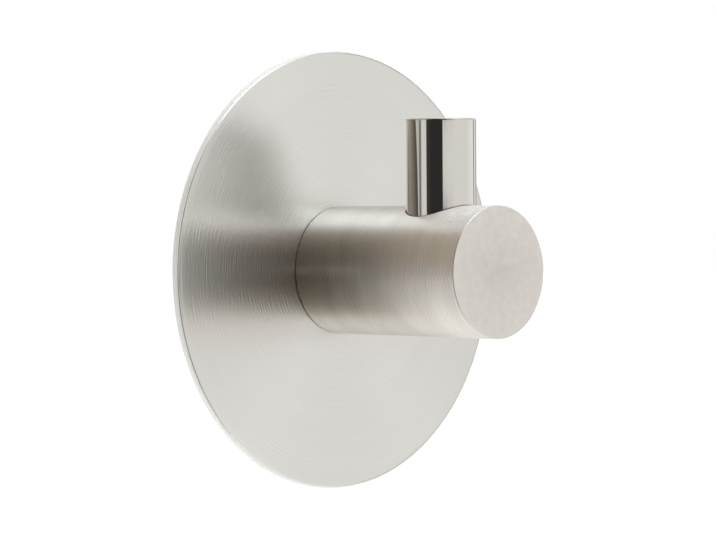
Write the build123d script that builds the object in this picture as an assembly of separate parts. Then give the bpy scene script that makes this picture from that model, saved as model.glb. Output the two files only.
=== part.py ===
from build123d import *
import os
from math import radians, tan

# Wall hook: a thin round plate held to the wall by a foam pad, a round post that stands out of the
# plate's centre, and a short peg that stands up out of the post.
# Frame: millimetres, +Z up, +Y towards the wall, origin at the centre of the face that meets the wall.

# Back plate, a sheet disc
plate_diameter = 51.5
plate_thickness = 0.8
plate_front_edge_radius = 0.15
plate_back_edge_break = 0.1

# Post, a length of round bar
post_diameter = 15.0
post_length = 25.3
post_front_edge_radius = 0.1
post_back_edge_break = 0.15

# Peg, a round pin; hanging_gap is the clear distance from the plate to the peg
peg_diameter = 8.0
peg_height_above_post = 9.9
hanging_gap = 12.45
peg_seat_depth = 9.0
peg_top_edge_radius = 0.15
peg_lead_in = 0.5
peg_fit_clearance = 0.03
peg_bore_edge_break = 0.12

# Screw that holds the post to the plate
screw_diameter = 4.0
screw_length = 8.0
screw_end_break = 0.5
screw_head_diameter = 8.0
screw_head_height = 0.9
screw_head_edge_break = 0.2
screw_socket_width = 2.5
screw_socket_depth = 1.3
screw_hole_clearance = 0.25
screw_thread_clearance = 0.05
screw_bore_run_out = 1.5
drill_point_angle = 118.0

# Foam pad, a ring behind the plate
pad_thickness = 1.1
pad_rim_inset = 2.0
pad_hole_clearance = 1.5

# Places that follow from the sizes above, along Y from the wall
plate_back_y = -pad_thickness
plate_front_y = plate_back_y - plate_thickness
post_front_y = plate_front_y - post_length
peg_axis_y = plate_front_y - hanging_gap - peg_diameter / 2
post_top_z = post_diameter / 2
peg_bottom_z = post_top_z - peg_seat_depth
peg_length = peg_seat_depth + peg_height_above_post


def bar_along_y(radius, back_y, front_y):
    """A round bar on the Y axis between two places along it."""
    outline = Plane.XZ.offset(-back_y) * Circle(radius)
    return extrude(outline, back_y - front_y)


def rim(solid, radius):
    """The circular edges of one radius, the frontmost first."""
    rings = solid.edges().filter_by(GeomType.CIRCLE)
    return rings.filter_by(lambda ring: abs(ring.radius - radius) < 1e-6).sort_by(Axis.Y)


def make_back_plate():
    """Disc with a hole for the screw, its front rim rounded and its back rim just broken."""
    radius = plate_diameter / 2
    disc = bar_along_y(radius, plate_back_y, plate_front_y)
    disc = fillet(rim(disc, radius)[0], plate_front_edge_radius)
    disc = chamfer(rim(disc, radius)[-1], plate_back_edge_break)
    hole = bar_along_y(screw_diameter / 2 + screw_hole_clearance, plate_back_y, plate_front_y)
    return disc - hole


def tapped_bore():
    """Drilled bore in the post's back end, with the cone that the drill's point leaves."""
    radius = screw_diameter / 2 + screw_thread_clearance
    end_y = plate_back_y - screw_length - screw_bore_run_out
    point_y = end_y - radius / tan(radians(drill_point_angle / 2))
    section = Polyline(
        (0, plate_front_y),
        (radius, plate_front_y),
        (radius, end_y),
        (0, point_y),
        close=True,
    )
    return revolve(make_face(section), Axis.Y)


def make_post():
    """Bar with a flat front end, a flat-bottomed bore for the peg and a tapped bore behind."""
    radius = post_diameter / 2
    bar = bar_along_y(radius, plate_front_y, post_front_y)
    bar = fillet(rim(bar, radius)[0], post_front_edge_radius)
    bar = chamfer(rim(bar, radius)[-1], post_back_edge_break)
    bore_radius = peg_diameter / 2 + peg_fit_clearance
    bore_foot = Plane((0, peg_axis_y, peg_bottom_z))
    bore = extrude(bore_foot * Circle(bore_radius), peg_length)
    walls_before = bar.edges()
    bar = bar - bore
    mouth = (bar.edges() - walls_before).sort_by(Axis.Z)[-1]
    bar = chamfer(mouth, peg_bore_edge_break)
    return bar - tapped_bore()


def make_peg():
    """Pin that rests on the bore's floor, with a lead-in below and a softened top rim."""
    radius = peg_diameter / 2
    foot = Plane((0, peg_axis_y, peg_bottom_z))
    pin = extrude(foot * Circle(radius), peg_length)
    ends = pin.edges().filter_by(GeomType.CIRCLE).sort_by(Axis.Z)
    pin = fillet(ends[-1], peg_top_edge_radius)
    lower_end = pin.edges().filter_by(GeomType.CIRCLE).sort_by(Axis.Z)[0]
    return chamfer(lower_end, peg_lead_in)


def make_plate_screw():
    """Low round head behind the plate with a hexagon socket, and a plain shank for the thread."""
    head_radius = screw_head_diameter / 2
    shank_radius = screw_diameter / 2
    head_back_y = plate_back_y + screw_head_height
    shank_end_y = plate_back_y - screw_length
    head = bar_along_y(head_radius, head_back_y, plate_back_y)
    head = chamfer(rim(head, head_radius)[-1], screw_head_edge_break)
    shank = bar_along_y(shank_radius, plate_back_y, shank_end_y)
    shank = chamfer(rim(shank, shank_radius)[0], screw_end_break)
    socket_outline = RegularPolygon(screw_socket_width / 2, 6, major_radius=False)
    socket = extrude(Plane.XZ.offset(-head_back_y) * socket_outline, screw_socket_depth)
    return head + shank - socket


def make_adhesive_pad():
    """Flat ring of foam, set in from the plate's rim, with a hole round the screw's head."""
    outer = bar_along_y(plate_diameter / 2 - pad_rim_inset, 0, plate_back_y)
    hole = bar_along_y(screw_head_diameter / 2 + pad_hole_clearance, 0, plate_back_y)
    return outer - hole


os.makedirs("parts", exist_ok=True)
export_step(make_back_plate(), "parts/back_plate.step")
export_step(make_post(), "parts/post.step")
export_step(make_peg(), "parts/peg.step")
export_step(make_plate_screw(), "parts/plate_screw.step")
export_step(make_adhesive_pad(), "parts/adhesive_pad.step")
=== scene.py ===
# %% [markdown]
# # A brushed stainless-steel wall hook
# The hook is five pieces of plain form: a thin round plate, a round post, an upright peg, the screw
# that joins post and plate, and the foam tape that holds the plate to the wall. The shapes are finished
# before Blender sees them, so this lesson is about one thing: how to make steel look brushed, turned or
# polished, and how to light it. Metal has almost no colour of its own. It shows the room.

# %% Load the hook
import math

import bpy
from mathutils import Matrix, Vector


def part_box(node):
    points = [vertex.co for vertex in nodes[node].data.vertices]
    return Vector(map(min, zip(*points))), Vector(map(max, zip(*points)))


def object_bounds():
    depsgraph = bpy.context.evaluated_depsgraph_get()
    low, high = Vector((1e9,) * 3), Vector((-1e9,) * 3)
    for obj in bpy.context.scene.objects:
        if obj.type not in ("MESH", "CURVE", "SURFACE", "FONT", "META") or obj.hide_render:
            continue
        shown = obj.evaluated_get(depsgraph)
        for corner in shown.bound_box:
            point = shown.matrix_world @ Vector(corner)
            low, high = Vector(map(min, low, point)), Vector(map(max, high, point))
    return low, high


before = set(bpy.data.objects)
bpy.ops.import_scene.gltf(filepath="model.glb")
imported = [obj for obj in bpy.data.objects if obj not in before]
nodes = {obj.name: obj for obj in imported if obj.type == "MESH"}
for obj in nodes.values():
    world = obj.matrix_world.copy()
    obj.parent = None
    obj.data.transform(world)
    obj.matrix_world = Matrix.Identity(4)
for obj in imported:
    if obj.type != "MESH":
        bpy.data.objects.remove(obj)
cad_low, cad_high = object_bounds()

MM = 0.001
print("pieces:", sorted(nodes))
print("box in mm:", [round((h - l) / MM, 2) for l, h in zip(cad_low, cad_high)])

# %% [markdown]
# Everything below is placed by the hook's own sizes, so they are read from the pieces once. Y runs into
# the wall and Z runs up, so the plate and the post share the Y axis and the peg has an upright axis.

# %% Measure the pieces
plate_low, plate_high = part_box("back_plate")
post_low, post_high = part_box("post")
peg_low, peg_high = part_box("peg")
plate_centre = Vector((0.0, plate_high.y, 0.0))
plate_radius = plate_high.z
post_radius = post_high.z
peg_axis = Vector((0.0, (peg_low.y + peg_high.y) / 2, 0.0))
peg_radius = (peg_high.x - peg_low.x) / 2
print("radii in mm: plate %.2f, post %.2f, peg %.2f" % (
    plate_radius / MM, post_radius / MM, peg_radius / MM))

# %% [markdown]
# The photograph was taken with a long lens, level with the hook and from its left at 45 degrees. The angles
# and the distance were fitted to the edges in the picture. A camera in Blender looks along its own -Z, so
# it is first stood upright, then tipped by the elevation, turned by the azimuth and rolled a little.

# %% Camera
IMAGE_WIDTH = 716
FOCAL_PIXELS = 2965.3
VIEW_AZIMUTH = math.radians(-44.77)
VIEW_ELEVATION = math.radians(1.30)
VIEW_ROLL = math.radians(-0.40)
VIEW_DISTANCE = 350.5 * MM
AIM_RIGHT = 2.59 * MM
AIM_UP = -0.03 * MM

camera_data = bpy.data.cameras.new("photo_camera")
camera_data.sensor_width = 36.0
camera_data.lens = FOCAL_PIXELS / IMAGE_WIDTH * camera_data.sensor_width
camera_data.clip_start = 0.01
turn = Matrix.Rotation(VIEW_AZIMUTH, 4, "Z")
tip = Matrix.Rotation(math.pi / 2 - VIEW_ELEVATION, 4, "X")
roll = Matrix.Rotation(VIEW_ROLL, 4, "Z")
facing = turn @ tip @ roll
step_back = facing @ Vector((AIM_RIGHT, AIM_UP, VIEW_DISTANCE))
camera = bpy.data.objects.new("photo_camera", camera_data)
camera.matrix_world = Matrix.Translation(plate_centre + step_back) @ facing
bpy.context.scene.collection.objects.link(camera)
bpy.context.scene.camera = camera
bpy.context.scene.view_settings.view_transform = "Standard"
print("lens %.1f mm, camera at" % camera_data.lens, [round(v / MM, 1) for v in camera.location])

# %% [markdown]
# Two small tools serve every material. Colours are written as sRGB hex values, which is how a picture
# stores them, while shaders work in linear light, so one function converts them. The other function adds
# a node, sets it up and plugs in its inputs, which keeps a node tree as short to write as it is to draw.

# %% Tools for colours and nodes
def linear_colour(hex_value, brightness=1.0):
    """An sRGB hex value such as #D5D5CF as linear red, green, blue and alpha."""
    channels = [int(hex_value[i:i + 2], 16) / 255 for i in (1, 3, 5)]
    light = [c / 12.92 if c <= 0.04045 else ((c + 0.055) / 1.055) ** 2.4 for c in channels]
    return (*[brightness * value for value in light], 1.0)


def add_node(tree, kind, settings=None, inputs=None):
    """A new node with its settings, and each input linked if it is a socket or else set."""
    made = tree.nodes.new(kind)
    for name, value in (settings or {}).items():
        setattr(made, name, value)
    for socket, value in (inputs or {}).items():
        if isinstance(value, bpy.types.NodeSocket):
            tree.links.new(value, made.inputs[socket])
        else:
            made.inputs[socket].default_value = value
    return made


print("mid grey #808080 is", round(linear_colour("#808080")[0], 3), "in linear light")

# %% [markdown]
# Steel in an evenly white room looks like white paper. Photographers hang panels round it instead: white
# ones to reflect, a brighter one overhead, and a dark gap where the camera stands. The dark parts of this
# hook, the middle of the peg and the corner between post and plate, all mirror that gap. Panels could be
# real cards standing in the scene, but they would get in the way of other views, so they are painted on
# the world by compass direction and height. The camera itself sees a plain white background.

# %% Tools for the studio
def soft_band(tree, value, low, high, edge):
    """1 where the value lies between low and high, falling to 0 over a soft edge on each side."""
    rise = add_node(tree, "ShaderNodeMapRange", {"interpolation_type": "SMOOTHSTEP"},
                    {"Value": value, "From Min": low - edge, "From Max": low + edge})
    fall = add_node(tree, "ShaderNodeMapRange", {"interpolation_type": "SMOOTHSTEP"},
                    {"Value": value, "From Min": high + edge, "From Max": high - edge})
    both = add_node(tree, "ShaderNodeMath", {"operation": "MULTIPLY"},
                    {0: rise.outputs[0], 1: fall.outputs[0]})
    return both.outputs[0]


def look_up(tree):
    """Compass angle from the front towards the left, and height over the horizon, both in degrees."""
    direction = add_node(tree, "ShaderNodeTexCoord").outputs["Generated"]
    flipped = add_node(tree, "ShaderNodeVectorMath", {"operation": "SCALE"},
                       {0: direction, "Scale": -1.0})
    split = add_node(tree, "ShaderNodeSeparateXYZ", None, {0: flipped.outputs[0]})
    turn = add_node(tree, "ShaderNodeMath", {"operation": "ARCTAN2"},
                    {0: split.outputs["X"], 1: split.outputs["Y"]})
    dip = add_node(tree, "ShaderNodeMath", {"operation": "ARCSINE"}, {0: split.outputs["Z"]})
    compass = add_node(tree, "ShaderNodeMath", {"operation": "DEGREES"}, {0: turn.outputs[0]})
    height = add_node(tree, "ShaderNodeMath", {"operation": "MULTIPLY"},
                      {0: dip.outputs[0], 1: math.degrees(-1.0)})
    return compass.outputs[0], height.outputs[0]


def hang_panel(tree, angles, behind, paint, compass, height, edges):
    """Lays a soft-edged panel of one paint over whatever is behind it; all angles are in degrees."""
    across = soft_band(tree, angles[0], *compass, edges[0])
    upright = soft_band(tree, angles[1], *height, edges[1])
    shape = add_node(tree, "ShaderNodeMath", {"operation": "MULTIPLY"}, {0: across, 1: upright})
    panel = add_node(tree, "ShaderNodeMix", {"data_type": "RGBA"},
                     {"Factor": shape.outputs[0], 6: behind, 7: paint})
    return panel.outputs[2]


# %% [markdown]
# The panels are a table, from the back to the front of the pile. Each row says what hangs there, its paint
# and brightness, the compass angles and heights that it spans, and how soft its edges are across and upright.
# The last rows are a narrow row of cards at the peg's own height. The peg is a mirror that looks straight out
# at its own level, so it shows those cards one after another as upright stripes.

# %% Studio
WHITE = "#FFFFFF"
TENT_BRIGHTNESS = 1.005
PANELS = [
    ("light from the table", WHITE, 1.35, (-200, 200), (-120, -36), (1, 20)),
    ("sheet overhead", WHITE, 2.00, (-200, 200), (68, 120), (1, 6)),
    ("softbox in front of the sheet", "#EAF5FF", 3.00, (-44, 32), (38, 120), (4, 4.5)),
    ("low card for the post's underside", "#F0F6FF", 1.70, (-37, -12), (-40, -18), (3, 5)),
    ("warm grey wall on the left", "#C8C0B4", 1.00, (86, 169), (-2.5, 62), (7, 23)),
    ("dark gap round the camera", "#040303", 1.00, (8, 93), (-78, 57), (6, 20)),
    ("dim card along the gap", "#C4B3A0", 1.00, (8, 27), (-78, 45), (6, 12)),
    ("pale card in front", WHITE, 0.97, (-50, 12), (-0.6, 2.2), (8, 0.5)),
    ("white card beside the gap", WHITE, 1.00, (8, 41.5), (-0.25, 1.95), (1.5, 0.25)),
    ("bright card on the right", WHITE, 1.10, (-101, -60), (-0.6, 2.2), (14, 0.5)),
    ("thin dark card on the right", WHITE, 0.35, (-93.5, -85), (-0.6, 2.2), (1, 0.5)),
    ("grey card on the far right", WHITE, 0.42, (-135, -106), (-0.6, 2.2), (1.5, 0.5)),
    ("black card before the camera", "#363534", 1.00, (41.5, 96), (-7, 8), (1.5, 2)),
    ("paler end of the black card", "#43403D", 1.00, (83, 96), (-7, 8), (4, 2)),
    ("white card on the left", WHITE, 0.92, (96, 115), (-7, 8), (1.5, 2)),
    ("dark card on the far left", WHITE, 0.26, (115, 124), (-7, 8), (1.5, 2)),
]


def build_studio():
    """World with panels for the steel to mirror, and plain white for the camera."""
    world = bpy.data.worlds.new("studio")
    world.use_nodes = True
    tree = world.node_tree
    tree.nodes.clear()
    at = look_up(tree)
    sky = linear_colour(WHITE, TENT_BRIGHTNESS)
    for _, paint, brightness, compass, height, edges in PANELS:
        sky = hang_panel(tree, at, sky, linear_colour(paint, brightness), compass, height, edges)
    rays = add_node(tree, "ShaderNodeLightPath")
    seen = add_node(tree, "ShaderNodeMix", {"data_type": "RGBA"},
                    {"Factor": rays.outputs["Is Camera Ray"], 6: sky, 7: linear_colour(WHITE)})
    shade = add_node(tree, "ShaderNodeBackground", None, {"Color": seen.outputs[2]})
    add_node(tree, "ShaderNodeOutputWorld", None, {"Surface": shade.outputs[0]})
    return world


bpy.context.scene.world = build_studio()
print("studio of a white tent and", len(PANELS), "panels")

# %% [markdown]
# The floor is a large pale sheet well below the hook, so its soft shadow stays out of the picture but
# shows in views from above. A white sheet under white light comes out a little grey, because no paint
# gives back all the light. A touch of glow, for camera rays only, lifts it to the white of the background
# without adding light to the hook. The steel doesn't mirror the sheet: it sees the studio's panels there.

# %% Floor
FLOOR_DROP = 70 * MM
FLOOR_SIZE = 6.0
FLOOR_PAINT = "#F2F2F2"
FLOOR_GLOW = 0.15


def build_floor():
    """A square sheet below the hook, matte white."""
    half = FLOOR_SIZE / 2
    level = cad_low.z - FLOOR_DROP
    mesh = bpy.data.meshes.new("floor")
    corners = [(-half, -half, level), (half, -half, level), (half, half, level), (-half, half, level)]
    mesh.from_pydata(corners, [], [(0, 1, 2, 3)])
    sheet = bpy.data.objects.new("floor", mesh)
    bpy.context.scene.collection.objects.link(sheet)
    paint = bpy.data.materials.new("matte_white_floor")
    paint.use_nodes = True
    tree = paint.node_tree
    tree.nodes.clear()
    matte = add_node(tree, "ShaderNodeBsdfDiffuse", None, {"Color": linear_colour(FLOOR_PAINT)})
    rays = add_node(tree, "ShaderNodeLightPath")
    glow = add_node(tree, "ShaderNodeMath", {"operation": "MULTIPLY"},
                    {0: rays.outputs["Is Camera Ray"], 1: FLOOR_GLOW})
    light = add_node(tree, "ShaderNodeEmission", None,
                     {"Color": linear_colour(WHITE), "Strength": glow.outputs[0]})
    both = add_node(tree, "ShaderNodeAddShader", None, {0: matte.outputs[0], 1: light.outputs[0]})
    add_node(tree, "ShaderNodeOutputMaterial", None, {"Surface": both.outputs[0]})
    mesh.materials.append(paint)
    sheet.visible_glossy = False
    return sheet


floor = build_floor()
print("floor", round((cad_low.z - floor.bound_box[0][2]) / MM, 1), "mm below the hook")

# %% [markdown]
# Brushing leaves thousands of fine scratches that all run the same way. Here they run in circles, because
# the plate, the post and the peg were each spun against the abrasive. So every scratch is placed by its
# direction from the axis, which has no seam, and by its radius plus its height, which changes across a flat
# face and along a round side alike. Stretching a noise along the circle gives the soft patches in a finish.

# %% Noise in rings
AXES = {"Y": Vector((0, 1, 0)), "Z": Vector((0, 0, 1))}
ORIGIN = Vector((0, 0, 0))


def ring_place(tree, axis, centre):
    """Sockets for a point's direction from the axis, its radius, and its radius plus height."""
    place = add_node(tree, "ShaderNodeTexCoord").outputs["Object"]
    offset = add_node(tree, "ShaderNodeVectorMath", {"operation": "SUBTRACT"}, {0: place, 1: centre})
    along = add_node(tree, "ShaderNodeVectorMath", {"operation": "DOT_PRODUCT"},
                     {0: offset.outputs[0], 1: AXES[axis]})
    flat = add_node(tree, "ShaderNodeVectorMath", {"operation": "MULTIPLY"},
                    {0: offset.outputs[0], 1: Vector((1, 1, 1)) - AXES[axis]})
    radius = add_node(tree, "ShaderNodeVectorMath", {"operation": "LENGTH"}, {0: flat.outputs[0]})
    outward = add_node(tree, "ShaderNodeVectorMath", {"operation": "NORMALIZE"}, {0: flat.outputs[0]})
    across = add_node(tree, "ShaderNodeMath", {"operation": "ADD"},
                      {0: radius.outputs["Value"], 1: along.outputs["Value"]})
    return outward.outputs[0], radius.outputs["Value"], across.outputs[0]


def ring_noise(tree, axis, centre, width, arc, seed):
    """Noise from 0 to 1 in patches about an axis: width across them in metres, arc along them in degrees."""
    outward, _, across = ring_place(tree, axis, centre)
    steps = add_node(tree, "ShaderNodeMath", {"operation": "DIVIDE"}, {0: across, 1: width})
    rung = add_node(tree, "ShaderNodeVectorMath", {"operation": "SCALE"},
                    {0: AXES[axis], "Scale": steps.outputs[0]})
    ring = add_node(tree, "ShaderNodeVectorMath", {"operation": "SCALE"},
                    {0: outward, "Scale": 1.0 / math.radians(arc)})
    where = add_node(tree, "ShaderNodeVectorMath", {"operation": "ADD"},
                     {0: rung.outputs[0], 1: ring.outputs[0]})
    noise = add_node(tree, "ShaderNodeTexNoise", {"noise_dimensions": "4D"},
                     {"Vector": where.outputs[0], "W": seed, "Scale": 1.0, "Detail": 1.0})
    spread = add_node(tree, "ShaderNodeMapRange", None,
                      {"Value": noise.outputs["Fac"], "From Min": 0.3, "From Max": 0.7})
    return spread.outputs[0]


print("rings can run about", " and ".join(AXES))

# %% [markdown]
# The scratches themselves are a wave across the rings. Left alone it would look like a record, so one noise
# shifts the lines a little, a second noise fades them in and out along the circle as dashes, and a finer set
# of lines is mixed in. The noises' widths are counted in line spacings. Real scratches are hundredths of a
# millimetre wide and too fine to show at this picture's size, so these are drawn some tenths of a millimetre
# apart, as coarse as they need to be to show.

# %% Scratches in rings
LONG_ARC = 60
LINE_WANDER = 0.6
WANDER_WIDTH = 2.5
DASH_WIDTH = 2.0
FINER = 0.7


def ring_lines(tree, axis, centre, spacing, arc, breaks, seed):
    """One set of lines from 0 to 1: spacing in metres, arc in degrees, breaks 0 for whole rings."""
    _, _, across = ring_place(tree, axis, centre)
    wander = ring_noise(tree, axis, centre, WANDER_WIDTH * spacing, LONG_ARC, seed)
    strength = ring_noise(tree, axis, centre, DASH_WIDTH * spacing, arc, seed + 1.0)
    count = add_node(tree, "ShaderNodeMath", {"operation": "DIVIDE"}, {0: across, 1: spacing})
    shifted = add_node(tree, "ShaderNodeMath", {"operation": "MULTIPLY_ADD"},
                       {0: wander, 1: LINE_WANDER, 2: count.outputs[0]})
    angle = add_node(tree, "ShaderNodeMath", {"operation": "MULTIPLY"}, {0: shifted.outputs[0], 1: math.tau})
    wave = add_node(tree, "ShaderNodeMath", {"operation": "SINE"}, {0: angle.outputs[0]})
    half = add_node(tree, "ShaderNodeMath", {"operation": "MULTIPLY_ADD"},
                    {0: strength, 1: breaks, 2: 0.5 - breaks})
    line = add_node(tree, "ShaderNodeMath", {"operation": "MULTIPLY_ADD"},
                    {0: wave.outputs[0], 1: half.outputs[0], 2: 0.5})
    return line.outputs[0]


def ring_scratches(tree, axis, centre, spacing, arc, breaks, seed):
    """A coarse and a finer set of lines in equal shares, so that no regular pattern is left."""
    coarse = ring_lines(tree, axis, centre, spacing, arc, breaks, seed)
    fine = ring_lines(tree, axis, centre, FINER * spacing, arc, breaks, seed + 3.0)
    both = add_node(tree, "ShaderNodeMix", None, {"Factor": 0.5, 2: coarse, 3: fine})
    return both.outputs[0]


print("the finer lines stand", FINER, "of the coarse spacing apart")

# %% [markdown]
# The shader for all the steel is the same, with other numbers. Metallic is 1. Fine scratches spread a
# reflection across themselves and hardly along themselves, which is what Anisotropic does. The Tangent
# node gives the direction round the axis, and a quarter turn of it lays the spread across the scratches.
# The drawn scratches tilt the surface a little, and make it a shade lighter, darker, smoother or rougher
# along each line. A broad shade in rings under them stands for strokes of the belt that bit unevenly.

# %% Steel shader
QUARTER_TURN = 0.25
STROKE_WIDTH = 4.0
STROKE_SHADE = 0.24


def spun_steel(name, axis, centre, spacing, arc, breaks, seed, light, dark, roughness, spread, anisotropy,
               depth):
    """Metal whose scratches run about an axis."""
    metal = bpy.data.materials.new(name)
    metal.use_nodes = True
    tree = metal.node_tree
    tree.nodes.clear()
    scratch = ring_scratches(tree, axis, centre, spacing, arc, breaks, seed)
    stroke = ring_noise(tree, axis, centre, STROKE_WIDTH * spacing, LONG_ARC, seed + 2.0)
    shade = add_node(tree, "ShaderNodeMath", {"operation": "MULTIPLY_ADD"},
                     {0: stroke, 1: STROKE_SHADE, 2: -STROKE_SHADE / 2})
    both = add_node(tree, "ShaderNodeMath", {"operation": "ADD"}, {0: scratch, 1: shade.outputs[0]})
    tone = add_node(tree, "ShaderNodeMix", {"data_type": "RGBA"},
                    {"Factor": both.outputs[0], 6: linear_colour(dark), 7: linear_colour(light)})
    rough = add_node(tree, "ShaderNodeMapRange", None,
                     {"Value": scratch, "To Min": roughness - spread, "To Max": roughness + spread})
    tilt = add_node(tree, "ShaderNodeBump", {"name": "tilt"}, {"Height": scratch, "Distance": depth})
    tangent = add_node(tree, "ShaderNodeTangent", {"direction_type": "RADIAL", "axis": axis})
    steel = add_node(tree, "ShaderNodeBsdfPrincipled", {"name": "steel"}, {
        "Base Color": tone.outputs[2], "Metallic": 1.0, "Roughness": rough.outputs[0],
        "Normal": tilt.outputs[0], "Anisotropic": anisotropy, "Anisotropic Rotation": QUARTER_TURN,
        "Tangent": tangent.outputs[0]})
    add_node(tree, "ShaderNodeOutputMaterial", None, {"Surface": steel.outputs[0]})
    print(name, "has scratches", round(spacing / MM, 2), "mm apart")
    return metal


# %% [markdown]
# No piece has one finish all over. Where a mask is 1, this tool mixes another colour, roughness and
# anisotropy into the steel. It serves cut and filed places and a rubbed patch, and it also paints light and
# shade: a painted highlight on the plate's broken edge and on the rubbed patch, and dirt with painted shade
# in the joints. A number that is the same in both finishes stays on the shader's own socket, where an export
# can read it. The joint's mask comes from ambient occlusion, which asks how much of the space just above a
# point is open, so it darkens where light is shut out.

# %% Local finishes and painted light
OPEN_SHARE = 0.9
SHUT_SHARE = 0.4


def refinish_and_paint_light(metal, where, colour, roughness, anisotropy, metallic=1.0):
    """Gives a part of a metal another finish, a painted highlight or painted shade: where is 1 there and 0
    elsewhere.
    """
    tree = metal.node_tree
    steel = tree.nodes["steel"]
    old = steel.inputs["Base Color"].links[0].from_socket
    tone = add_node(tree, "ShaderNodeMix", {"data_type": "RGBA"}, {"Factor": where, 6: old, 7: colour})
    tree.links.new(tone.outputs[2], steel.inputs["Base Color"])
    for name, value in (("Roughness", roughness), ("Anisotropic", anisotropy), ("Metallic", metallic)):
        socket = steel.inputs[name]
        before = socket.links[0].from_socket if socket.is_linked else socket.default_value
        if before != value:
            mixed = add_node(tree, "ShaderNodeMix", None, {"Factor": where, 2: before, 3: value})
            tree.links.new(mixed.outputs[0], socket)


def joint_mask(metal, reach):
    """1 in a crevice, 0 in the open, judged within a reach in metres."""
    tree = metal.node_tree
    open_share = add_node(tree, "ShaderNodeAmbientOcclusion", {"samples": 8}, {"Distance": reach})
    mask = add_node(tree, "ShaderNodeMapRange", None,
                    {"Value": open_share.outputs["AO"], "From Min": OPEN_SHARE, "From Max": SHUT_SHARE})
    return mask.outputs[0]


def dress(node, metal):
    """Gives a piece of the hook its finished material."""
    mesh = nodes[node].data
    mesh.materials.clear()
    mesh.materials.append(metal)
    print(node, "is", metal.name, "with", len(metal.node_tree.nodes), "nodes")


# %% [markdown]
# The plate is stainless sheet, spun under a medium belt. The eye sees a pale satin with a soft mirror image
# of the post, smeared outwards from the centre.

# %% Plate
plate_steel = spun_steel("stainless_sheet_brushed_in_circles", "Y", ORIGIN,
                         spacing=0.56 * MM, arc=8, breaks=0.8, seed=1.0, light="#DBD9D3", dark="#D3D1CB",
                         roughness=0.286, spread=0.005, anisotropy=0.845, depth=19e-6)
dress("back_plate", plate_steel)

# %% [markdown]
# The disc was cut from the brushed sheet and its edge was broken, so its rim is matte where the face is
# satin. Two narrow bands of the distance in from the rim show that: the cut side, and on the broken edge
# a matte line painted near white, which is a painted highlight for the light that the rounded edge catches.
# The face also rolls over a little towards the rim, as sheet does under the press, and it falls away more
# steeply in the last quarter millimetre. Both slopes are too small to model, so two bumps tilt the face
# there. On the left the steep one mirrors the dark gap and draws a thin dark line.

# %% Rim of the plate
CUT_SIDE = (-0.10 * MM, 0.02 * MM)
CUT_SOFTNESS = 0.01 * MM
BROKEN_EDGE = (0.03 * MM, 0.12 * MM)
BREAK_SOFTNESS = 0.02 * MM
ROLL_WIDTH = 1.3 * MM
ROLL_DROP = 0.06 * MM
CORNER_START = 0.26 * MM
CORNER_END = 0.13 * MM
CORNER_DROP = 0.075 * MM

tree = plate_steel.node_tree
_, plate_place, _ = ring_place(tree, "Y", ORIGIN)
inset = add_node(tree, "ShaderNodeMath", {"operation": "SUBTRACT"},
                 {0: plate_radius, 1: plate_place}).outputs[0]
cut_side = soft_band(tree, inset, *CUT_SIDE, CUT_SOFTNESS)
refinish_and_paint_light(plate_steel, cut_side, linear_colour("#FAF9F6"), roughness=0.6, anisotropy=0.0, metallic=0.4)
# Painted highlight: a near-white matte line on the broken edge stands for the light the edge catches.
painted_edge_highlight = soft_band(tree, inset, *BROKEN_EDGE, BREAK_SOFTNESS)
refinish_and_paint_light(plate_steel, painted_edge_highlight, linear_colour("#FDFCFA"), roughness=0.9, anisotropy=0.0, metallic=0.0)
rise = add_node(tree, "ShaderNodeMapRange", None,
                {"Value": inset, "From Min": ROLL_WIDTH, "From Max": 0.0})
curve = add_node(tree, "ShaderNodeMath", {"operation": "POWER"}, {0: rise.outputs[0], 1: 2.0})
roll_over = add_node(tree, "ShaderNodeBump", {"invert": True},
                     {"Height": curve.outputs[0], "Distance": ROLL_DROP})
corner = add_node(tree, "ShaderNodeMapRange", None,
                  {"Value": inset, "From Min": CORNER_START, "From Max": CORNER_END})
corner_fall = add_node(tree, "ShaderNodeBump", {"invert": True},
                       {"Height": corner.outputs[0], "Distance": CORNER_DROP, "Normal": roll_over.outputs[0]})
tree.links.new(corner_fall.outputs[0], tree.nodes["tilt"].inputs["Normal"])
print("plate radius", round(plate_radius / MM, 2), "mm, roll-over on the last", ROLL_WIDTH / MM, "mm")

# %% [markdown]
# The post is stainless bar, brushed as it turned in the lathe. Its marks are shorter and stronger than the
# plate's, so the dark mirror image of the camera's gap looks combed.

# %% Post
post_steel = spun_steel("stainless_bar_brushed_in_the_lathe", "Y", ORIGIN,
                        spacing=0.46 * MM, arc=5, breaks=0.85, seed=5.0, light="#E8E3DB", dark="#BDB8B0",
                        roughness=0.294, spread=0.02, anisotropy=0.741, depth=9.5e-6)
dress("post", post_steel)

# %% [markdown]
# In front of the peg the post was rubbed by hand after the peg went in. The rubbing leaves a matte
# patch with short grey marks that run every way, so a plain noise with some distortion draws them. The
# patch is painted near white, a painted highlight where the top of the post catches the light there.

# %% Rubbed patch with a painted highlight on the post
PATCH_FROM_END = 3 * MM
PATCH_REACH = 7.5 * MM
PATCH_CORE = 3.5 * MM
MARK_SIZE = 0.5 * MM

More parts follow.
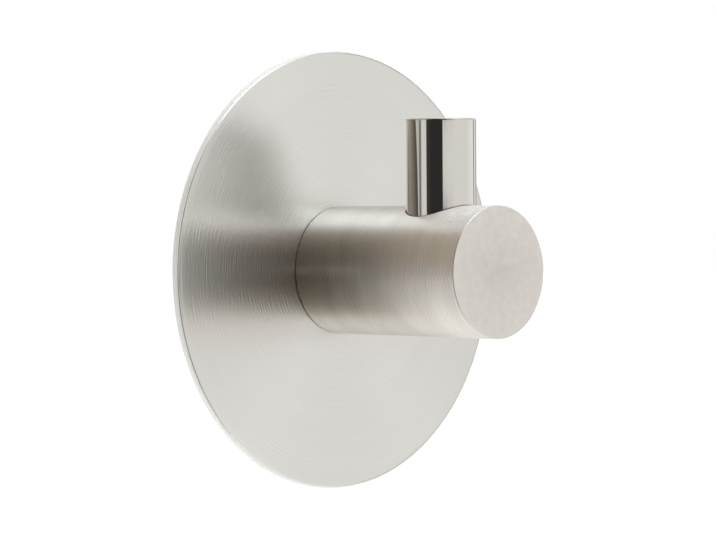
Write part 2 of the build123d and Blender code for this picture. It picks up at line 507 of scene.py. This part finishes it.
tree = post_steel.node_tree
post_place = add_node(tree, "ShaderNodeTexCoord").outputs["Object"]
patch_centre = Vector((0, post_low.y + PATCH_FROM_END, post_radius))
away = add_node(tree, "ShaderNodeVectorMath", {"operation": "DISTANCE"}, {0: post_place, 1: patch_centre})
patch = add_node(tree, "ShaderNodeMapRange", {"interpolation_type": "SMOOTHSTEP"},
                 {"Value": away.outputs["Value"], "From Min": PATCH_REACH, "From Max": PATCH_CORE})
marks = add_node(tree, "ShaderNodeTexNoise", None,
                 {"Vector": post_place, "Scale": 1 / MARK_SIZE, "Detail": 2.0, "Distortion": 1.0})
crisp = add_node(tree, "ShaderNodeMapRange", None,
                 {"Value": marks.outputs["Fac"], "From Min": 0.35, "From Max": 0.65})
# Painted highlight: the patch's near-white tones stand for the light on the post's top in front of the peg.
rubbed_with_painted_highlight = add_node(tree, "ShaderNodeMix", {"data_type": "RGBA"},
                  {"Factor": crisp.outputs[0], 6: linear_colour("#ECE9E2"), 7: linear_colour("#FFFDF8")})
refinish_and_paint_light(post_steel, patch.outputs[0], rubbed_with_painted_highlight.outputs[2], roughness=0.8, anisotropy=0.0, metallic=0.1)
print("patch centre in mm:", [round(v / MM, 1) for v in patch_centre])

# %% [markdown]
# The end was faced off with a flat tool, which leaves it cloudy and nearly even, with a small dull spot
# where the cutting speed falls to nothing at the very centre. The rings are switched off there.

# %% Faced end of the post
FACE_BACK = 0.08 * MM
FACE_FRONT = 0.02 * MM
CLOUD_SIZE = 0.9 * MM
CLOUD_SHADE = 0.8
SPOT_SHADE = 0.75
SPOT_FALL = 0.4
FACE_LEVEL = -0.42

post_depth = add_node(tree, "ShaderNodeSeparateXYZ", None, {0: post_place}).outputs["Y"]
_, post_ring, _ = ring_place(tree, "Y", ORIGIN)
faced = add_node(tree, "ShaderNodeMapRange", None,
                 {"Value": post_depth, "From Min": post_low.y + FACE_BACK,
                  "From Max": post_low.y + FACE_FRONT})
cloud = add_node(tree, "ShaderNodeTexNoise", None,
                 {"Vector": post_place, "Scale": 1 / CLOUD_SIZE, "Detail": 4.0})
share = add_node(tree, "ShaderNodeMath", {"operation": "DIVIDE"}, {0: post_ring, 1: post_radius})
bright = add_node(tree, "ShaderNodeMath", {"operation": "POWER"}, {0: share.outputs[0], 1: SPOT_FALL})
lift = add_node(tree, "ShaderNodeMath", {"operation": "MULTIPLY_ADD"},
                {0: bright.outputs[0], 1: SPOT_SHADE, 2: FACE_LEVEL})
cloudy = add_node(tree, "ShaderNodeMath", {"operation": "MULTIPLY_ADD"},
                  {0: cloud.outputs["Fac"], 1: CLOUD_SHADE, 2: lift.outputs[0]})
face_tone = add_node(tree, "ShaderNodeMix", {"data_type": "RGBA"},
                     {"Factor": cloudy.outputs[0], 6: linear_colour("#C3BEB7"), 7: linear_colour("#DBD7CF")})
refinish_and_paint_light(post_steel, faced.outputs[0], face_tone.outputs[2], roughness=0.3, anisotropy=0.5)
ringed = add_node(tree, "ShaderNodeMath", {"operation": "SUBTRACT"}, {0: 1.0, 1: faced.outputs[0]})
tree.links.new(ringed.outputs[0], tree.nodes["tilt"].inputs["Strength"])
print("the end lies at", round(post_low.y / MM, 2), "mm")

# %% [markdown]
# Between side and end a file took off the sharp corner. The thin smooth edge that is left shows as a bright
# line at the top left, where it mirrors the light overhead, and as a dark line further down. Radius minus
# depth is largest right at that corner. Where the post meets the plate and the peg, the joint is painted
# darker in a thin line, partly dirt and partly painted shade where the crevice shuts out light, and the eye
# reads that thin dark line as two pieces that touch.

# %% Corner and joints of the post
JOINT_DIRT_AND_SHADE = linear_colour("#8C867C")
JOINT_REACH = 0.15 * MM
FILED_START = 0.12 * MM
FILED_END = 0.07 * MM

sharp_corner = post_radius - post_low.y
outward = add_node(tree, "ShaderNodeMath", {"operation": "SUBTRACT"}, {0: post_ring, 1: post_depth})
filed = add_node(tree, "ShaderNodeMapRange", None,
                 {"Value": outward.outputs[0], "From Min": sharp_corner - FILED_START,
                  "From Max": sharp_corner - FILED_END})
refinish_and_paint_light(post_steel, filed.outputs[0], linear_colour("#CDCBC6"), roughness=0.3, anisotropy=0.0)
# Dirt and painted shade: the base colour darkens wherever ambient occlusion finds a crevice.
refinish_and_paint_light(post_steel, joint_mask(post_steel, JOINT_REACH), JOINT_DIRT_AND_SHADE, roughness=0.5, anisotropy=0.0)
print("the post's steel has grown to", len(tree.nodes), "nodes")

# %% [markdown]
# The peg is the same steel, turned with a finer tool and nearly polished, so it mirrors the row of cards as
# sharp stripes. Its top edge was broken with a file and is duller. Its joint with the post is painted darker
# than the plate's, partly dirt and partly painted shade in the small groove that the broken edge of the bore
# leaves round the peg.

# %% Peg
BRIM_START = 0.3 * MM
BRIM_END = 0.1 * MM
GROOVE_DIRT_AND_SHADE = linear_colour("#3A3733")
GROOVE_REACH = 0.3 * MM

peg_steel = spun_steel("stainless_pin_polished", "Z", peg_axis,
                       spacing=0.3 * MM, arc=60, breaks=0.6, seed=9.0, light="#D4D1CB", dark="#D0CDC7",
                       roughness=0.065, spread=0.01, anisotropy=0.0, depth=0.01e-6)
tree = peg_steel.node_tree
peg_place = add_node(tree, "ShaderNodeTexCoord").outputs["Object"]
peg_height = add_node(tree, "ShaderNodeSeparateXYZ", None, {0: peg_place}).outputs["Z"]
brim = add_node(tree, "ShaderNodeMapRange", None,
                {"Value": peg_height, "From Min": peg_high.z - BRIM_START, "From Max": peg_high.z - BRIM_END})
refinish_and_paint_light(peg_steel, brim.outputs[0], linear_colour("#C4C1BA"), roughness=0.4, anisotropy=0.0)
# Dirt and painted shade: the base colour darkens wherever ambient occlusion finds the groove.
refinish_and_paint_light(peg_steel, joint_mask(peg_steel, GROOVE_REACH), GROOVE_DIRT_AND_SHADE, roughness=0.5, anisotropy=0.0)
dress("peg", peg_steel)

# %% [markdown]
# The screw holds the post from behind and only shows in the middle of the foam ring, from the back. It is
# plain stainless as it comes from the maker: turned, not brushed, and a little darker.

# %% Screw
screw_steel = spun_steel("stainless_screw_plain", "Y", ORIGIN,
                         spacing=0.15 * MM, arc=50, breaks=0.3, seed=13.0, light="#C4C3C0", dark="#B4B3B0",
                         roughness=0.35, spread=0.05, anisotropy=0.5, depth=1e-6)
dress("plate_screw", screw_steel)

# %% [markdown]
# The tape behind the plate is grey acrylic foam. It is cut from a sheet full of closed cells, which the eye
# sees as a fine matte grain. Voronoi cells about a third of a millimetre wide draw that grain.

# %% Foam tape
CELL_SIZE = 0.35 * MM
CELL_DEPTH = 0.05 * MM


def foam_tape():
    """Matte grey foam with fine closed cells."""
    foam = bpy.data.materials.new("acrylic_foam_tape")
    foam.use_nodes = True
    tree = foam.node_tree
    tree.nodes.clear()
    place = add_node(tree, "ShaderNodeTexCoord").outputs["Object"]
    cells = add_node(tree, "ShaderNodeTexVoronoi", None, {"Vector": place, "Scale": 1 / CELL_SIZE})
    tone = add_node(tree, "ShaderNodeMix", {"data_type": "RGBA"},
                    {"Factor": cells.outputs["Distance"], 6: linear_colour("#5E5E60"),
                     7: linear_colour("#77777A")})
    tilt = add_node(tree, "ShaderNodeBump", None,
                    {"Height": cells.outputs["Distance"], "Distance": CELL_DEPTH, "Strength": 0.6})
    skin = add_node(tree, "ShaderNodeBsdfPrincipled", None,
                    {"Base Color": tone.outputs[2], "Roughness": 0.7, "Normal": tilt.outputs[0]})
    add_node(tree, "ShaderNodeOutputMaterial", None, {"Surface": skin.outputs[0]})
    return foam


dress("adhesive_pad", foam_tape())
